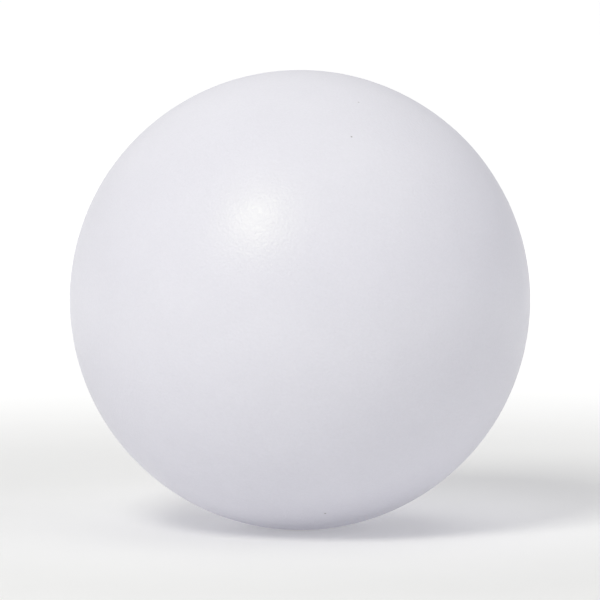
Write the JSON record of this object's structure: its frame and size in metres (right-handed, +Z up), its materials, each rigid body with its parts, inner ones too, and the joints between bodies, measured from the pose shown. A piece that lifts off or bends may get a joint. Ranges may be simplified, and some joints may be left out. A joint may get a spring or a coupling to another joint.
{
  "type": "stress ball",
  "caption": "Plain white foam stress ball to squeeze in one hand: a soft foam core in a dense foam skin with a thin satin paint coat, resting on its trimmed pour flat.",
  "frame": {"origin": "centre of the trimmed pour flat, the face that the ball rests on, straight below the ball's centre", "axes": "+Z up through the ball's centre; +Y along the squeeze, from the front half to the back half; the mould's parting plane is the XZ plane"},
  "size_m": [0.07, 0.07, 0.0698],
  "materials": {
    "white_paint": "satin",
    "foam_skin": "matte",
    "soft_foam": "matte"
  },
  "bodies": {
    "core": {"foam_core": "soft_foam", "pour_plug": "soft_foam"},
    "front_half": {"front_skin": "foam_skin", "front_paint_coat": "white_paint"},
    "back_half": {"back_skin": "foam_skin", "back_paint_coat": "white_paint"}
  },
  "joints": [
    {"name": "squeeze_front", "type": "slide", "parent": "core", "child": "front_half", "axis": [0, 1, 0], "range_m": [0, 0.015], "stiffness_N_per_m": 2000, "deforming": ["foam_core", "front_skin", "front_paint_coat"]},
    {"name": "squeeze_back", "type": "slide", "parent": "core", "child": "back_half", "axis": [0, -1, 0], "range_m": [0, 0.015], "stiffness_N_per_m": 2000, "deforming": ["back_skin", "back_paint_coat"]}
  ],
  "couplings": [
    {"joint": "squeeze_back", "follows": "squeeze_front", "ratio": 1}
  ]
}
